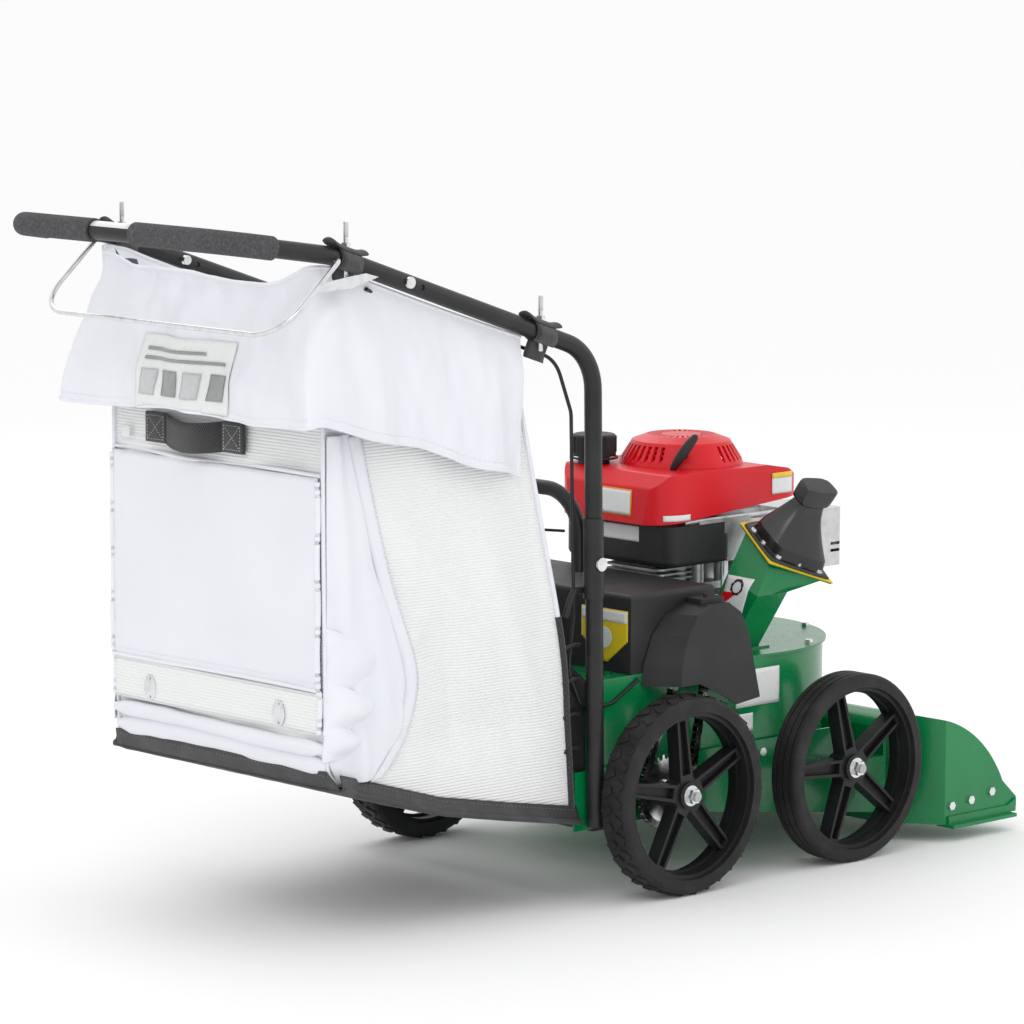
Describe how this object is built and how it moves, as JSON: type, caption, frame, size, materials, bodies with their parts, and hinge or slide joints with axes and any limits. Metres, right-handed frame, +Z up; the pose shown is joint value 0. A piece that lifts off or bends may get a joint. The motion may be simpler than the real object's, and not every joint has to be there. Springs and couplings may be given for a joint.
{
  "type": "leaf vacuum mulcher",
  "caption": "Self-propelled walk-behind leaf and litter vacuum with wide nozzle, engine-driven blower, chipper chute, spoked wheels and a large cloth debris bag.",
  "frame": {"origin": "on the ground under the middle of the machine's box", "axes": "+X forward towards the nozzle, +Y to the operator's left, +Z up"},
  "size_m": [1.7515, 0.704, 1.1315],
  "materials": {
    "green_paint": "gloss",
    "black_paint": "satin",
    "zinc": "satin",
    "tyre_rubber": "matt",
    "wheel_plastic": "satin",
    "foam": "matt",
    "red_plastic": "gloss",
    "black_plastic": "satin",
    "cast_aluminium": "as cast",
    "steel": "machined",
    "shield_steel": "satin",
    "bag_mesh": "ribbed",
    "bag_cloth": "smooth",
    "bag_vinyl": "satin",
    "webbing": "woven",
    "yellow_gasket": "matt",
    "belt_rubber": "matt",
    "cable_black": "satin",
    "roller_chain": "oiled",
    "skid_green": "gloss"
  },
  "bodies": {
    "chassis": {"axle_fittings": "zinc", "axles": "steel", "bag_base": "bag_vinyl", "bag_body": "bag_mesh", "bag_straps": "webbing", "bag_studs": "zinc", "belt_cover": "black_plastic", "blower_housing": "green_paint", "carburettor": "cast_aluminium", "case_bolts": "zinc", "chain_guard": "black_plastic", "chipper_chute": "green_paint", "chipper_gasket": "yellow_gasket", "chipper_hopper": "black_plastic", "control_cables": "cable_black", "cross_brace": "black_paint", "cross_member": "black_paint", "discharge_chute": "black_plastic", "drive_belt": "belt_rubber", "drive_chain": "roller_chain", "dust_skirt": "bag_cloth", "engine_block": "cast_aluminium", "engine_shroud": "red_plastic", "frame_rail_left": "green_paint", "frame_rail_right": "green_paint", "fuel_tank": "black_plastic", "gearbox": "cast_aluminium", "grip_left": "foam", "grip_right": "foam", "handle_fittings": "zinc", "housing_top_plate": "green_paint", "leg_left": "black_paint", "leg_right": "black_paint", "muffler": "steel", "muffler_shield": "shield_steel", "nozzle_hood": "green_paint", "nozzle_skids": "skid_green", "recoil_cover": "red_plastic", "upper_handle": "black_paint"},
    "blower_rotor": {"crankshaft": "steel", "impeller": "steel", "engine_pulley": "steel"},
    "input_rotor": {"input_pulley": "steel"},
    "output_rotor": {"output_shaft": "steel", "drive_sprocket": "zinc"},
    "rear_wheel_right": {"rear_tyre_right": "tyre_rubber", "rear_rim_right": "wheel_plastic", "wheel_sprocket": "zinc"},
    "rear_wheel_left": {"rear_tyre_left": "tyre_rubber", "rear_rim_left": "wheel_plastic"},
    "front_wheel_right": {"front_tyre_right": "tyre_rubber", "front_rim_right": "wheel_plastic"},
    "front_wheel_left": {"front_tyre_left": "tyre_rubber", "front_rim_left": "wheel_plastic"},
    "bail": {"drive_bail": "zinc"},
    "starter": {"starter_grip": "black_plastic"},
    "filler_cap": {"fuel_cap": "black_plastic"},
    "door": {"bag_door": "bag_cloth"},
    "button_right": {"turn_button_right": "zinc"},
    "button_left": {"turn_button_left": "zinc"}
  },
  "joints": [
    {"name": "rear_wheel_right_spin", "type": "hinge", "parent": "chassis", "child": "rear_wheel_right", "pos_m": [0.06375, -0.316, 0.165], "axis": [0, 1, 0], "continuous": true},
    {"name": "rear_wheel_left_spin", "type": "hinge", "parent": "chassis", "child": "rear_wheel_left", "pos_m": [0.06375, 0.316, 0.165], "axis": [0, 1, 0], "continuous": true},
    {"name": "front_wheel_right_spin", "type": "hinge", "parent": "chassis", "child": "front_wheel_right", "pos_m": [0.46075, -0.316, 0.16], "axis": [0, 1, 0], "continuous": true},
    {"name": "front_wheel_left_spin", "type": "hinge", "parent": "chassis", "child": "front_wheel_left", "pos_m": [0.46075, 0.316, 0.16], "axis": [0, 1, 0], "continuous": true},
    {"name": "output_spin", "type": "hinge", "parent": "chassis", "child": "output_rotor", "pos_m": [0.13275, -0.275, 0.374], "axis": [0, 1, 0], "continuous": true},
    {"name": "crank_spin", "type": "hinge", "parent": "chassis", "child": "blower_rotor", "pos_m": [0.37575, 0, 0.406], "axis": [0, 0, 1], "continuous": true},
    {"name": "input_pulley_spin", "type": "hinge", "parent": "chassis", "child": "input_rotor", "pos_m": [0.13275, 0, 0.406], "axis": [0, 0, 1], "continuous": true},
    {"name": "drive_bail_lift", "type": "hinge", "parent": "chassis", "child": "bail", "pos_m": [-0.65825, 0, 1.076], "axis": [0, 1, 0], "range_deg": [0, 34], "stiffness_Nm_per_rad": 1.5},
    {"name": "starter_pull", "type": "slide", "parent": "chassis", "child": "starter", "axis": [-0.6211, -0.6612, 0.4208], "range_m": [0, 0.45], "stiffness_N_per_m": 12, "springref_m": -0.1},
    {"name": "fuel_cap_lift", "type": "slide", "parent": "chassis", "child": "filler_cap", "axis": [0, 0, 1], "range_m": [0, 0.06]},
    {"name": "bag_door_swing", "type": "hinge", "parent": "chassis", "child": "door", "pos_m": [-0.659, 0, 0.741], "axis": [0, 1, 0], "range_deg": [0, 75]},
    {"name": "turn_button_right_turn", "type": "hinge", "parent": "door", "child": "button_right", "pos_m": [-0.66125, -0.156, 0.366], "axis": [1, 0, 0], "range_deg": [0, 90]},
    {"name": "turn_button_left_turn", "type": "hinge", "parent": "door", "child": "button_left", "pos_m": [-0.66125, 0.156, 0.366], "axis": [1, 0, 0], "range_deg": [0, 90]}
  ],
  "couplings": [
    {"joint": "output_spin", "follows": "rear_wheel_right_spin", "ratio": 2},
    {"joint": "input_pulley_spin", "follows": "crank_spin", "ratio": 0.625}
  ]
}
